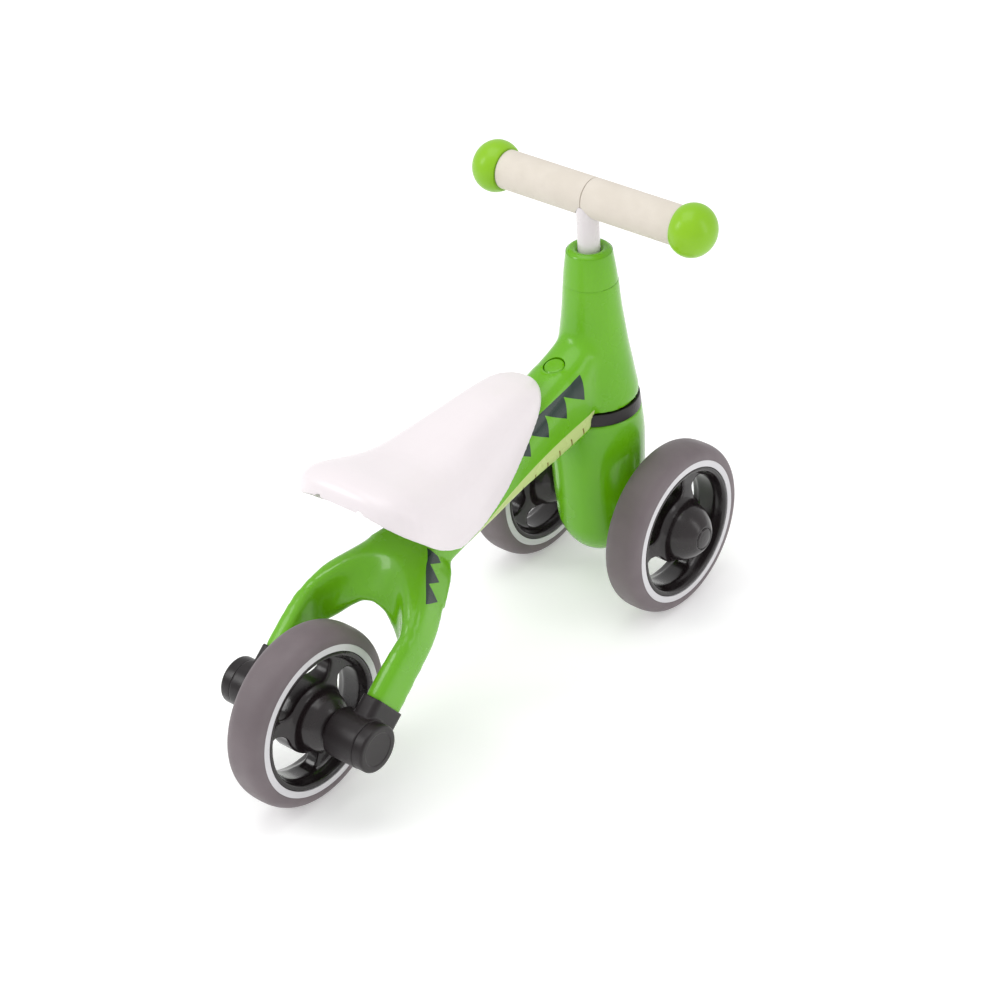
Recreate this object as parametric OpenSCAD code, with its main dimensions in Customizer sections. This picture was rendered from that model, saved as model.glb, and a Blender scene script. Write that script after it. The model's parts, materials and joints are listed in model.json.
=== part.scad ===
// Three-wheeled balance bike for a toddler.
// +Z up, the bike faces -Y, rider's left is +X. The origin is on the floor, midway between the axles.

/* [Overall] */
// Distance between the front and the rear axle
wheelbase = 380; // [330:5:460]
// Height of the handlebar's axis above the floor
bar_height = 372; // [366:1:450]
// How far the handlebar's axis lies ahead of the steering axis
bar_ahead = 7; // [0:0.5:8]
// Lean of the steering axis, its top towards the rider, in degrees
rake = 1.3; // [0:0.1:6]
// How far the front axle lies ahead of the steering axis
axle_ahead = 4; // [0:0.5:8]
// Largest steering angle to each side, in degrees
steer_stop = 65; // [40:1:70]

/* [Wheels] */
// Wheel diameter over the tyre
wheel_d = 154; // [142:1:186]
// Width of a tyre
tyre_w = 34.4; // [28:0.2:40]
// Distance between the mid-planes of the two front wheels
front_track = 149; // [145:1:180]
// Outer radius of the black rim
rim_r = 59.2; // [56:0.2:62]
// Width of the pale ring beside the rim
ring_w = 5.8; // [4:0.2:7]
// Thickness of the pale ring
ring_t = 1.2; // [0.8:0.1:2]
// Largest radius of the hub's bulb
hub_r = 27; // [22:0.5:28]
// Distance from a wheel's mid-plane to each end of its hub
hub_half = 35.4; // [32:0.2:38]
// Number of spokes
spokes = 3; // [3:1:4]
// Angle that a spoke takes up at the middle of its length
spoke_angle = 22; // [16:1:40]

/* [Axles] */
// Diameter of both axle rods
axle_d = 8; // [6:0.5:10]
// Outer radius of the wheel bushes
bush_r = 7.5; // [6.5:0.5:9]
// Length of a wheel bush
bush_len = 16; // [10:1:22]
// Hexagon size of the axle nuts, across their corners
nut_d = 14; // [13:0.5:16]
// Thickness of an axle nut
nut_t = 5; // [4:0.5:6]
// Radius of the round rear housings
housing_r = 20.5; // [17:0.5:22]
// Distance from the centre plane to the outer end of a rear cap
housing_end = 76; // [74:1:90]
// Length of a rear cap
cap_len = 10; // [8:1:12]

/* [Steering] */
// Diameter of the stem tube
stem_d = 19; // [16:0.5:22]
// Wall of the stem tube
stem_wall = 2; // [1.2:0.1:3]
// Wall of the steering bushes
steer_bush_wall = 3; // [2:0.5:4]
// Height of the steering head's foot above the front axle
head_foot = 112; // [100:1:124]
// Height of the seam under the collar above the front axle
collar_foot = 222; // [205:1:232]
// Height of the collar
collar_h = 31; // [26:1:40]
// Height of the dark ring under the head
ring_h = 11; // [8:0.5:14]
// Radius of the head's foot
head_r = 37.6; // [36:0.2:42]

/* [Handlebar] */
// Diameter of the grip sleeves
grip_d = 33.6; // [28:0.2:38]
// Length of one grip sleeve
grip_len = 90; // [75:1:110]
// Diameter of the steel bar in the sleeves
bar_d = 17; // [14:0.5:20]
// Diameter of an end knob
knob_d = 44.6; // [40:0.2:50]
// Thickness of an end knob before its flat is cut
knob_t = 39.8; // [34:0.2:44]

/* [Frame] */
// Thickness of a leg of the rear fork
leg_t = 16.5; // [13:0.5:20]
// Depth of a leg of the rear fork
leg_depth = 37; // [32:1:42]
// Distance from the centre plane to a leg's outer face
leg_x = 62.5; // [58:0.5:64]
// Diameter of the round plug behind the head
plug_d = 18; // [14:0.5:20]

/* [Seat] */
// Wall of the seat shell
seat_wall = 4; // [3:0.5:5]
// How far the seat is raised above its lowest setting
seat_lift = 0; // [0:1:8]
// Radius of the two bosses under the seat
boss_r = 10; // [8:0.5:12]
// Distance between the two seat screws
screw_gap = 50; // [36:1:60]
// Diameter of the seat screws
screw_d = 6; // [5:0.5:8]

/* [Fits] */
// Radial clearance of what turns
running = 0.05; // [0.02:0.01:0.09]
// Gap between pieces that are fixed together
seat_gap = 0.1; // [0.05:0.05:0.2]
// Gap between pieces that move past each other
open_gap = 0.35; // [0.3:0.05:0.6]

/* [Hidden] */

green = [0.42, 0.74, 0.13];
black = [0.09, 0.08, 0.08];
cream = [0.90, 0.87, 0.80];
white = [0.95, 0.94, 0.93];
tyre_grey = [0.42, 0.39, 0.40];
steel = [0.75, 0.76, 0.78];
nylon = [0.85, 0.85, 0.82];

wheel_r = wheel_d / 2;
front_y = -wheelbase / 2;
rear_y = wheelbase / 2;
axle_r = axle_d / 2;
stem_r = stem_d / 2;
bar_r = bar_d / 2;
grip_r = grip_d / 2;
steer_bore_r = stem_r + running + steer_bush_wall;
steer_bush_len = 14;
// Height of the handlebar's axis, measured along the steering axis from the front axle
bar_rise = (bar_height - wheel_r + bar_ahead * sin(rake)) / cos(rake);
collar_top = collar_foot + collar_h;
fork_top = head_foot - open_gap - ring_h;
fork_r = head_r + 1.5;
fork_clear_r = fork_r + 3.2;
boss_end = front_track / 2 - hub_half - open_gap;

// ---------------------------------------------------------------- helpers

// Points of a curve through the rows of a table, with n steps between two rows
function pick(rows, i) = rows[max(0, min(len(rows) - 1, i))];
function blend(a, b, c, d, t) =
    0.5 * (2 * b + (c - a) * t + (2 * a - 5 * b + 4 * c - d) * t * t
    + (3 * b - a - 3 * c + d) * t * t * t);
function smooth(rows, n) = concat([for (i = [0:len(rows) - 2], k = [0:n - 1])
    blend(pick(rows, i - 1), rows[i], rows[i + 1], pick(rows, i + 2), k / n)],
    [rows[len(rows) - 1]]);

// A closed skin over rings of points, all with the same number of points
module skin(rings) {
    n = len(rings[0]);
    m = len(rings);
    pts = [for (r = rings) each r];
    sides = [for (i = [0:m - 2], j = [0:n - 1]) each [
        [i * n + j, (i + 1) * n + (j + 1) % n, (i + 1) * n + j],
        [i * n + j, i * n + (j + 1) % n, (i + 1) * n + (j + 1) % n]]];
    first = [for (j = [n - 1:-1:0]) j];
    last = [for (j = [0:n - 1]) (m - 1) * n + j];
    polyhedron(pts, concat(sides, [first, last]), convexity = 6);
}

// Corner arc of a rounded outline: centre, radius, start angle, steps
function arc(cx, cy, r, a0, n) = [for (k = [0:n])
    [cx + r * cos(a0 + 90 * k / n), cy + r * sin(a0 + 90 * k / n)]];

// Rounded outline, half width a, from bottom to top, with its own radius at top and bottom
function beam_outline(a, bottom, top, r_top, r_bottom) = concat(
    arc(a - r_top, top - r_top, r_top, 0, 7),
    arc(-a + r_top, top - r_top, r_top, 90, 7),
    arc(-a + r_bottom, bottom + r_bottom, r_bottom, 180, 5),
    arc(a - r_bottom, bottom + r_bottom, r_bottom, 270, 5));

// Rounded outline stretched over four corners, taken in turn
function soft_square() = concat(arc(0.6, 0.6, 0.4, 0, 4), arc(-0.6, 0.6, 0.4, 90, 4),
    arc(-0.88, -0.88, 0.12, 180, 2), arc(0.75, -0.75, 0.25, 270, 3));
function on_corners(c, p) = (c[0] * (1 + p[0]) * (1 + p[1]) + c[1] * (1 - p[0]) * (1 + p[1])
    + c[2] * (1 - p[0]) * (1 - p[1]) + c[3] * (1 + p[0]) * (1 - p[1])) / 4;

// The frame that turns with the fork: its Z is the steering axis, its origin level with the axle
module steered() {
    translate([0, front_y + axle_ahead, wheel_r]) rotate([-rake, 0, 0]) children();
}
module at_front_axle() { translate([0, front_y, wheel_r]) children(); }
module along_x(from, to, r) {
    translate([from, 0, 0]) rotate([0, 90, 0]) cylinder(h = to - from, r = r, $fn = 64);
}
module turned_x(points, fn = 96) {
    rotate([0, 90, 0]) rotate_extrude($fn = fn) polygon(points);
}

// ---------------------------------------------------------------- frame

// The beam: distance behind the front axle, top and bottom height above the axle, half width,
// radius of its top edges, radius of its bottom edges
front_stations = [
    [10, 181, 101, 18, 17, 9], [30, 180, 100, 20, 19, 9], [36, 177, 98, 22.5, 21, 10],
    [43, 172, 96, 24.5, 22, 10], [50, 168, 94.5, 25, 22, 10], [61, 165, 93, 25, 22, 10],
    [90, 155, 90, 25, 21, 10], [130, 141.5, 85, 25, 20, 10], [170, 128, 77, 25.5, 19, 10]];
// The beam's rear end: distance ahead of the rear axle, and the rest as above
rear_stations = [
    [170, 114.5, 70, 26, 18, 10], [140, 104.5, 64, 27, 17, 10], [118, 97, 60, 26.5, 16, 10]];
function to_front(s) = [front_y + s[0], s[1] + wheel_r, s[2] + wheel_r, s[3], s[4], s[5]];
function to_rear(s) = [rear_y - s[0], s[1] + wheel_r, s[2] + wheel_r, s[3], s[4], s[5]];
stations = concat([for (s = front_stations) to_front(s)], [for (s = rear_stations) to_rear(s)]);

// The skin of the beam, drawn in by a wall, or let out by a negative one
module beam(wall, n) {
    rows = smooth(stations, n);
    skin([for (s = rows) [for (p = beam_outline(s[3] - wall, s[2] + wall, s[1] - wall,
        max(3, s[4] - wall), max(3, s[5] - wall))) [p[0], s[0], p[1]]]]);
}

// Height of the beam's top at a distance y
function beam_top(y) = lookup(y, [for (s = smooth(stations, 4)) [s[0], s[1]]]);
function beam_bottom(y) = lookup(y, [for (s = smooth(stations, 4)) [s[0], s[2]]]);

// The rear fork's arch: distance from the centre plane as a share of leg_x, then four corners in
// side view (top front, top rear, bottom rear, bottom front), each ahead of and above the axle
arch_rows = [
    [0.000, 150, 107.5, 107, 93.0, 80.5, 56.4, 150, 63.5],
    [0.176, 148, 107.0, 104, 92.5, 79.5, 53.5, 148, 63.0],
    [0.352, 140, 101.0, 97, 90.0, 76.0, 44.0, 154, 65.0],
    [0.512, 117, 92.5, 87, 85.0, 72.0, 33.5, 148, 64.5],
    [0.648, 102, 87.0, 74, 75.0, 69.0, 27.0, 134, 59.0],
    [0.720, 96, 84.5, 65, 66.0, 67.0, 24.0, 124.5, 55.0],
    [0.792, 90, 82.0, 58, 61.0, 63.0, 21.0, 117, 51.0],
    [0.880, 81.5, 77.0, 50, 54.0, 58.0, 18.0, 106, 44.0],
    [0.960, 69, 67.0, 44, 49.0, 54.0, 15.0, 90, 35.0],
    [1.000, 57, 57.5, 40, 44.0, 51.0, 12.0, 74, 25.5]];
arch_half = smooth(arch_rows, 2);
arch_all = concat([for (i = [len(arch_half) - 1:-1:1]) [-arch_half[i], i][0]], arch_half);
function arch_ring(s) = let (x = s[0] * (leg_x - 0.2), q = s[0] < 0 ? -s : s)
    [for (p = soft_square()) let (w = on_corners([[q[1], q[2]], [q[3], q[4]], [q[5], q[6]],
        [q[7], q[8]]], p)) [x, rear_y - w[0], wheel_r + w[1]]];
module arch() { skin([for (s = arch_all) arch_ring(s)]); }

// A leg's straight end runs down to its socket: the middle of the socket's mouth, ahead of and
// above the rear axle, and the leg's slope in side view
mouth = [31.2, 15.5];
leg_slope = 39;
leg_run = 62;
tenon_in = 1.3;
tenon_len = 12;
socket_wall = 2.5;
socket_len = 16;
leg_mid = leg_x - leg_t / 2;

// Puts a piece at a leg: its -Z points down the leg from the socket's mouth, side is 1 or -1
module at_mouth(side) {
    translate([side * leg_mid, rear_y - mouth[0], wheel_r + mouth[1]])
        rotate([90 - leg_slope, 0, 0]) children();
}
module soft_box(a, b, h, r) {
    linear_extrude(h) union() {
        square([2 * a, 2 * (b - r)], center = true);
        square([2 * (a - r), 2 * b], center = true);
        for (x = [-1, 1], y = [-1, 1]) translate([x * (a - r), y * (b - r)]) circle(r, $fn = 24);
    }
}
function soft_box_line(a, b, r) = concat(arc(a - r, b - r, r, 0, 4), arc(-a + r, b - r, r, 90, 4),
    arc(-a + r, -b + r, r, 180, 4), arc(a - r, -b + r, r, 270, 4));
module leg(side) {
    at_mouth(side) {
        skin([for (r = [[leg_run, 4, 6], [leg_run - 7, 1.6, 2.7], [leg_run - 16, 0, 0], [0, 0, 0]])
            [for (p = soft_box_line(leg_t / 2 - r[1], leg_depth / 2 - r[2], 5)) [p[0], p[1], r[0]]]]);
        translate([0, 0, -tenon_len])
            soft_box(leg_t / 2 - tenon_in, leg_depth / 2 - tenon_in, tenon_len + 1, 4);
    }
}

head_profile = [[head_r, head_foot - 3], [head_r - 0.7, head_foot + 8], [35.4, 129], [33.2, 143], [30.4, 160],
    [28, 178], [26.2, 192], [24.8, 206], [23.8, collar_foot - 1.2], [23.2, collar_foot]];

module head_solid() {
    rotate_extrude($fn = 72) polygon(concat([[0, head_foot - 3]], head_profile, [[0, collar_foot]]));
}

plug_y = front_y + 61;
plug_depth = 7;
// The plug sits square to the beam's top
module at_plug() {
    slope = atan((beam_top(plug_y + 6) - beam_top(plug_y - 6)) / 12);
    translate([0, plug_y, beam_top(plug_y)]) rotate([slope, 0, 0]) children();
}

module frame_shell() {
    color(green) difference() {
        union() {
            beam(0, 2);
            arch();
            leg(1);
            leg(-1);
            steered() head_solid();
        }
        // Room for the fork to turn, and the steering bore
        steered() {
            translate([0, 0, -10]) cylinder(h = head_foot + 10, r = fork_clear_r, $fn = 72);
            cylinder(h = collar_top, r = steer_bore_r + seat_gap, $fn = 64);
            translate([0, 0, collar_foot - spigot_h - seat_gap])
                cylinder(h = 20, r = spigot_r + seat_gap, $fn = 64);
            stop_slot();
        }
        for (y = screw_ys) at_screw(y) {
            translate([0, 0, -100]) cylinder(h = 200, r = screw_d / 2 + seat_gap, $fn = 32);
            translate([0, 0, beam_bottom(y) - beam_top(y) - 20])
                cylinder(h = 20 + screw_head_t, r = screw_d + 0.5, $fn = 32);
        }
        at_plug() translate([0, 0, -plug_depth])
            cylinder(h = plug_depth + 20, r = plug_d / 2 + seat_gap, $fn = 48);
    }
}

module frame_plug() {
    color(green) at_plug() translate([0, 0, -plug_depth + seat_gap]) {
        cylinder(h = plug_depth - 1.6, r = plug_d / 2, $fn = 48);
        translate([0, 0, plug_depth - 1.6])
            cylinder(h = 1, r1 = plug_d / 2, r2 = plug_d / 2 - 0.8, $fn = 48);
    }
}

// The collar's spigot sits in a step at the head's top, over the upper bush and the stem's clip
spigot_h = 3;
spigot_r = 15;
module head_collar() {
    foot_r = 23.2;
    recess_r = 10.9;
    recess_h = 2.5;
    color(green) steered() difference() {
        rotate_extrude($fn = 96) polygon(concat(
            [[clip_r + 1, collar_foot - spigot_h], [spigot_r, collar_foot - spigot_h],
            [spigot_r, collar_foot], [foot_r, collar_foot],
            [21.8, collar_foot + collar_h * 0.4], [20.2, collar_top - 8]],
            [for (a = [10:20:90]) [15.8 + 4.2 * cos(a), collar_top - 5 + 5 * sin(a)]],
            [[recess_r + 0.6, collar_top], [recess_r, collar_top - 1],
            [recess_r, collar_top - recess_h], [stem_r + 0.5, collar_top - recess_h],
            [stem_r + 0.5, clip_at + clip_t + open_gap], [clip_r + 1, clip_at + clip_t + open_gap]]));
    }
}

// ---------------------------------------------------------------- steering

module steer_bush(foot) {
    color(nylon) steered() translate([0, 0, foot]) difference() {
        cylinder(h = steer_bush_len, r = steer_bore_r, $fn = 64);
        translate([0, 0, -1]) cylinder(h = steer_bush_len + 2, r = stem_r + running, $fn = 64);
    }
}
module upper_bush() { steer_bush(collar_foot - spigot_h - steer_bush_len); }
module lower_bush() { steer_bush(head_foot); }

clip_r = 11.8;
clip_t = 1.2;
clip_at = collar_foot - spigot_h + open_gap;
module stem_clip() {
    color(steel) steered() translate([0, 0, clip_at]) difference() {
        cylinder(h = clip_t, r = clip_r, $fn = 64);
        translate([0, 0, -1]) cylinder(h = clip_t + 2, r = stem_r, $fn = 64);
        translate([-3, 0, -1]) cube([6, clip_r + 1, clip_t + 2]);
    }
}

// The stem runs from its socket in the fork up into the grips, where it is coped to the bar
stem_foot = 22;
module stem_tube() {
    color(white) steered() difference() {
        translate([0, 0, stem_foot])
            cylinder(h = bar_rise - stem_foot + 4, r = stem_r, $fn = 64);
        translate([0, 0, stem_foot - 1])
            cylinder(h = bar_rise, r = stem_r - stem_wall, $fn = 64);
        translate([0, -bar_ahead, bar_rise]) along_x(-60, 60, bar_r + seat_gap);
        translate([-30, -30, bar_rise - bar_ahead + 4]) cube([60, 60, 60]);
        stem_screw_hole();
    }
}

// A cross screw from the front holds the stem in the fork
stem_screw_d = 5;
stem_screw_at = 58;
module stem_screw_hole() {
    translate([0, 0, stem_screw_at]) rotate([90, 0, 0])
        translate([0, 0, -16]) cylinder(h = 80, r = stem_screw_d / 2 + seat_gap, $fn = 32);
}
module stem_screw() {
    head_y = fork_r - 3;
    color(steel) steered() translate([0, 0, stem_screw_at]) rotate([90, 0, 0]) {
        translate([0, 0, -15]) cylinder(h = 15 + head_y, r = stem_screw_d / 2, $fn = 32);
        difference() {
            translate([0, 0, head_y - 3]) cylinder(h = 3, r = stem_screw_d, $fn = 48);
            translate([0, 0, head_y - 1.6]) cylinder(h = 3, r = 1.7, $fn = 6);
        }
    }
}

// The fork body is a turned bulb: radius and height above the axle
fork_profile = concat([[0, -44]], [for (a = [-78:13:0]) [39 * cos(a) - 1, 46 * sin(a)]],
    [[40, 28], [41.2, 58], [41, 80], [fork_r, fork_top - 1], [fork_r - 1, fork_top]]);
module fork_body() {
    boss_r = 10;
    wall = 5;
    color(green) steered() difference() {
        union() {
            rotate_extrude($fn = 96) polygon(concat(fork_profile, [[0, fork_top]]));
            translate([0, -axle_ahead, 0]) along_x(-boss_end, boss_end, boss_r);
        }
        // Hollow around the stem's socket
        rotate_extrude($fn = 72) polygon([[stem_r + wall, 16], [32.5, 20], [35, 40], [35.6, 80],
            [34.4, fork_top - wall], [stem_r + wall, fork_top - wall]]);
        translate([0, 0, stem_foot - seat_gap]) cylinder(h = 200, r = stem_r + seat_gap, $fn = 64);
        translate([0, -axle_ahead, 0]) along_x(-60, 60, axle_r + seat_gap);
        stem_screw_hole();
        translate([0, -fork_r + 6 + seat_gap, stem_screw_at]) rotate([90, 0, 0])
            cylinder(h = 30, r = stem_screw_d + seat_gap, $fn = 48);
    }
}

// A lug on the ring runs in a bent slot in the head's foot and stops the steering
lug_half = 8;
lug_in = 24;
lug_out = 30;
lug_h = 3;
module bent_block(in_r, out_r, half, h) {
    rotate([0, 0, -90 - half]) rotate_extrude(angle = 2 * half, $fn = 64)
        translate([in_r, 0]) square([out_r - in_r, h]);
}
module stop_slot() {
    translate([0, 0, head_foot - 1])
        bent_block(lug_in - 1, lug_out + 1, steer_stop + lug_half + 1, lug_h + 7);
}
module thrust_ring() {
    color(black) steered() {
        difference() {
            translate([0, 0, fork_top])
                cylinder(h = ring_h, r1 = fork_r, r2 = head_r + 0.4, $fn = 96);
            translate([0, 0, fork_top - 1]) cylinder(h = ring_h + 2, r = stem_r + 1, $fn = 64);
        }
        translate([0, 0, fork_top + ring_h - 1]) bent_block(lug_in, lug_out, lug_half, lug_h + 1);
    }
}

// ---------------------------------------------------------------- handlebar

module at_bar() { steered() translate([0, -bar_ahead, bar_rise]) children(); }
module bar_tube() {
    color(steel) at_bar() difference() {
        along_x(-grip_len - 17, grip_len + 17, bar_r);
        along_x(-grip_len - 20, grip_len + 20, bar_r - 1.8);
    }
}
module grip(side) {
    lip = 0.8;
    color(cream) mirror([side < 0 ? 1 : 0, 0, 0]) difference() {
        at_bar() turned_x([[bar_r + seat_gap, 0.25], [grip_r - lip, 0.25], [grip_r, 0.25 + lip],
            [grip_r, grip_len], [bar_r + seat_gap, grip_len]]);
        steered() cylinder(h = bar_rise + 8, r = stem_r + 0.3, $fn = 64);
    }
}
module grip_left() { grip(1); }
module grip_right() { grip(-1); }
module knob(side) {
    mid = grip_len + 11;
    flat_at = grip_len + seat_gap;
    half = knob_t / 2;
    start = asin((flat_at - mid) / half);
    color(green) mirror([side < 0 ? 1 : 0, 0, 0]) at_bar() turned_x(concat(
        [[bar_r, flat_at]],
        [for (k = [0:16]) let (a = start + (90 - start) * k / 16)
            [k == 16 ? 0 : knob_d / 2 * cos(a), mid + half * sin(a)]],
        [[0, grip_len + 18], [bar_r, grip_len + 18]]));
}
module knob_left() { knob(1); }
module knob_right() { knob(-1); }

// ---------------------------------------------------------------- wheels

ring_in_r = rim_r;
ring_out_r = rim_r + ring_w;
tyre_half = tyre_w / 2;
lip_r = rim_r - 4.2;
well_r = rim_r - 6.4;

module tyre() {
    // Tread and shoulders follow a squared ellipse
    power = 2 / 2.7;
    start = ring_out_r;
    crown = [for (a = [0:7.5:180]) [start + (wheel_r - start) * pow(sin(a), power),
        tyre_half * (a == 90 ? 0 : sign(cos(a)) * pow(abs(cos(a)), power))]];
    color(tyre_grey) difference() {
        turned_x(concat([[rim_r, tyre_half]], crown, [[rim_r, -tyre_half]]));
        for (m = [0, 1]) mirror([m, 0, 0]) turned_x([[rim_r - 1, tyre_half - ring_t],
            [ring_out_r, tyre_half - ring_t], [ring_out_r, tyre_half + 1], [rim_r - 1, tyre_half + 1]]);
    }
}
module rings() {
    color(white) for (m = [0, 1]) mirror([m, 0, 0]) turned_x([[ring_in_r, tyre_half - ring_t],
        [ring_out_r, tyre_half - ring_t], [ring_out_r, tyre_half], [ring_in_r, tyre_half]]);
}

// A window between two spokes is a bent slot with round ends
module windows() {
    inner = 30.3;
    outer = well_r - 1;
    mid = (inner + outer) / 2;
    end_r = (outer - inner) / 2 - 0.2;
    half_span = (360 / spokes - spoke_angle) / 2 - asin(end_r / mid);
    for (k = [0:spokes - 1]) rotate([k * 360 / spokes, 0, 0]) rotate([0, 90, 0])
        translate([0, 0, -60]) linear_extrude(120) union() {
            intersection() {
                difference() {
                    circle(outer, $fn = 96);
                    circle(inner, $fn = 96);
                }
                polygon([[0, 0], [90 * cos(half_span), -90 * sin(half_span)], [120, 0],
                    [90 * cos(half_span), 90 * sin(half_span)]]);
            }
            for (s = [-1, 1]) rotate(s * half_span) translate([mid, 0]) circle(end_r, $fn = 48);
        }
}

// The rim, its spokes and the bulb of its hub, in one moulding
module rim(capped) {
    bulb = [[hub_r, 0], [hub_r - 0.4, 13], [hub_r - 1.6, 18.5], [hub_r - 4.4, 24.5],
        [hub_r - 8.4, 29.5], [hub_r - 12.4, 33], [hub_r - 16.4, hub_half]];
    half = concat([[0, hub_half]], [for (k = [6:-1:1]) bulb[k]], [[28.8, 10], [40, 6.5],
        [well_r - 2, 7], [well_r, 10], [lip_r, tyre_half - 0.5], [lip_r + 0.6, tyre_half],
        [rim_r, tyre_half]]);
    color(black) difference() {
        turned_x(concat(half, [for (k = [len(half) - 1:-1:0]) [half[k][0], -half[k][1]]]));
        windows();
        along_x(-60, 60, bush_r);
        if (capped) along_x(cap_floor, 60, cap_r + seat_gap);
    }
}
cap_r = 9.5;
cap_floor = hub_half - 11;
bush_out = hub_half;
module bushes(outer_end) {
    // One bush from each end of the hub
    color(nylon) for (span = [[-hub_half, -hub_half + bush_len], [outer_end - bush_len, outer_end]])
        difference() {
            along_x(span[0], span[1], bush_r);
            along_x(-60, 60, axle_r + running);
        }
}
module at_wheel(side, spin) {
    at_front_axle() translate([side * front_track / 2, 0, 0]) rotate([0, 0, side < 0 ? 180 : 0])
        rotate([spin, 0, 0]) children();
}
module at_rear(spin) { translate([0, rear_y, wheel_r]) rotate([spin, 0, 0]) children(); }
left_spin = 105;
right_spin = 97;
rear_spin = 46;
module front_left_tyre() { at_wheel(1, 0) tyre(); }
module front_left_rim() { at_wheel(1, left_spin) rim(true); }
module front_left_rings() { at_wheel(1, 0) rings(); }
module front_left_bushes() { at_wheel(1, 0) bushes(cap_floor); }
module front_right_tyre() { at_wheel(-1, 0) tyre(); }
module front_right_rim() { at_wheel(-1, right_spin) rim(true); }
module front_right_rings() { at_wheel(-1, 0) rings(); }
module front_right_bushes() { at_wheel(-1, 0) bushes(cap_floor); }
module rear_tyre() { at_rear(0) tyre(); }
module rear_rim() { at_rear(rear_spin) rim(false); }
module rear_rings() { at_rear(0) rings(); }
module rear_bushes() { at_rear(0) bushes(hub_half); }

module hub_cap(side) {
    // Snaps over the axle's end and closes the bulb
    color(black) at_wheel(side, 0) turned_x([[0, hub_half + 0.9], [5, hub_half + 0.6],
        [cap_r - 0.8, hub_half], [cap_r, hub_half - 0.9], [cap_r, hub_half - 3], [0, hub_half - 3]]);
}
module hub_cap_left() { hub_cap(1); }
module hub_cap_right() { hub_cap(-1); }

module nut(at) {
    translate([at, 0, 0]) rotate([0, 90, 0]) difference() {
        cylinder(h = nut_t, r = nut_d / 2, $fn = 6);
        translate([0, 0, -1]) cylinder(h = nut_t + 2, r = axle_r, $fn = 48);
    }
}
front_nut_at = front_track / 2 + cap_floor + open_gap;
front_end = front_nut_at + nut_t + 0.8;
module front_axle() {
    color(steel) at_front_axle() along_x(-front_end, front_end, axle_r);
}
module front_axle_nuts() {
    color(steel) at_front_axle() for (m = [0, 1]) mirror([m, 0, 0]) nut(front_nut_at);
}

// ---------------------------------------------------------------- rear axle

housing_in = hub_half + open_gap;
housing_out = housing_end - cap_len;
nut_floor = housing_out - 9;
module rear_housing(side) {
    color(black) difference() {
        union() {
            translate([0, rear_y, wheel_r]) mirror([side < 0 ? 1 : 0, 0, 0])
                along_x(housing_in, housing_out, housing_r);
            at_mouth(side) translate([0, 0, -socket_len])
                soft_box(leg_t / 2 + 1.2, leg_depth / 2 + 1.2, socket_len, 5);
        }
        at_mouth(side) translate([0, 0, -tenon_len - seat_gap])
            soft_box(leg_t / 2 - tenon_in + seat_gap, leg_depth / 2 - tenon_in + seat_gap, 40, 4);
        translate([0, rear_y, wheel_r]) mirror([side < 0 ? 1 : 0, 0, 0]) {
            along_x(0, 90, axle_r + seat_gap);
            along_x(nut_floor, 90, 9.5);
        }
    }
}
module rear_housing_left() { rear_housing(1); }
module rear_housing_right() { rear_housing(-1); }
module rear_cap(side) {
    edge = 2.4;
    r = housing_r - 0.4;
    color(black) translate([0, rear_y, wheel_r]) mirror([side < 0 ? 1 : 0, 0, 0])
        turned_x(concat([[0, housing_out - 2], [9.4, housing_out - 2], [9.4, housing_out],
            [r, housing_out], [r, housing_end - edge]],
            [for (a = [22.5:22.5:90]) [r - edge + edge * cos(a),
                housing_end - edge + edge * sin(a)]], [[0, housing_end]]));
}
module rear_cap_left() { rear_cap(1); }
module rear_cap_right() { rear_cap(-1); }
module rear_axle() {
    end = nut_floor + nut_t + 0.8;
    color(steel) translate([0, rear_y, wheel_r]) along_x(-end, end, axle_r);
}
module rear_axle_nuts() {
    color(steel) translate([0, rear_y, wheel_r]) for (m = [0, 1]) mirror([m, 0, 0])
        nut(nut_floor);
}

// ---------------------------------------------------------------- seat

// Seat shell: distance ahead of the rear axle, half width, height of the ridge and height of
// the skirt's edge, both above the axle
seat_rows = [
    [285, 5.6, 170.7, 163.5], [282, 14.3, 173, 162.8], [275, 22.5, 175.2, 160], [262, 29, 178, 150.5],
    [237.5, 34, 178.8, 131.5], [208.5, 40.3, 176.5, 115.5], [171, 48.7, 171.8, 107.3],
    [149.5, 52.7, 169.6, 106], [130, 56.6, 170.3, 108], [102.5, 61.7, 176, 123.3],
    [85, 61.3, 180.6, 138], [71, 55.2, 182, 149.8], [61.8, 45, 180.2, 158.8],
    [57.2, 31.8, 175, 164.5], [56, 19, 170.5, 166.5]];
seat_lines = smooth(seat_rows, 2);
seat_power = 2 / 3.1;
function arch_outline(w, top, edge, foot) = concat(
    [for (a = [0:7.5:180]) [w * (a == 90 ? 0 : sign(cos(a)) * pow(abs(cos(a)), seat_power)),
        edge + (top - edge) * pow(sin(a), seat_power)]], [[-w, foot], [w, foot]]);
module seat_form(wall, drop, rows) {
    skin([for (s = rows) [for (p = arch_outline(max(2, s[1] - wall), s[2] - wall,
        s[3] - drop, s[3] - drop - 0.5)) [p[0], rear_y - s[0], wheel_r + seat_lift + p[1]]]]);
}
seat_inner = [for (s = seat_lines) if (s[1] > 24) s];
seat_mid = rear_y - 172;
screw_ys = [seat_mid - screw_gap / 2, seat_mid + screw_gap / 2];
screw_head_t = 4;
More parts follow.
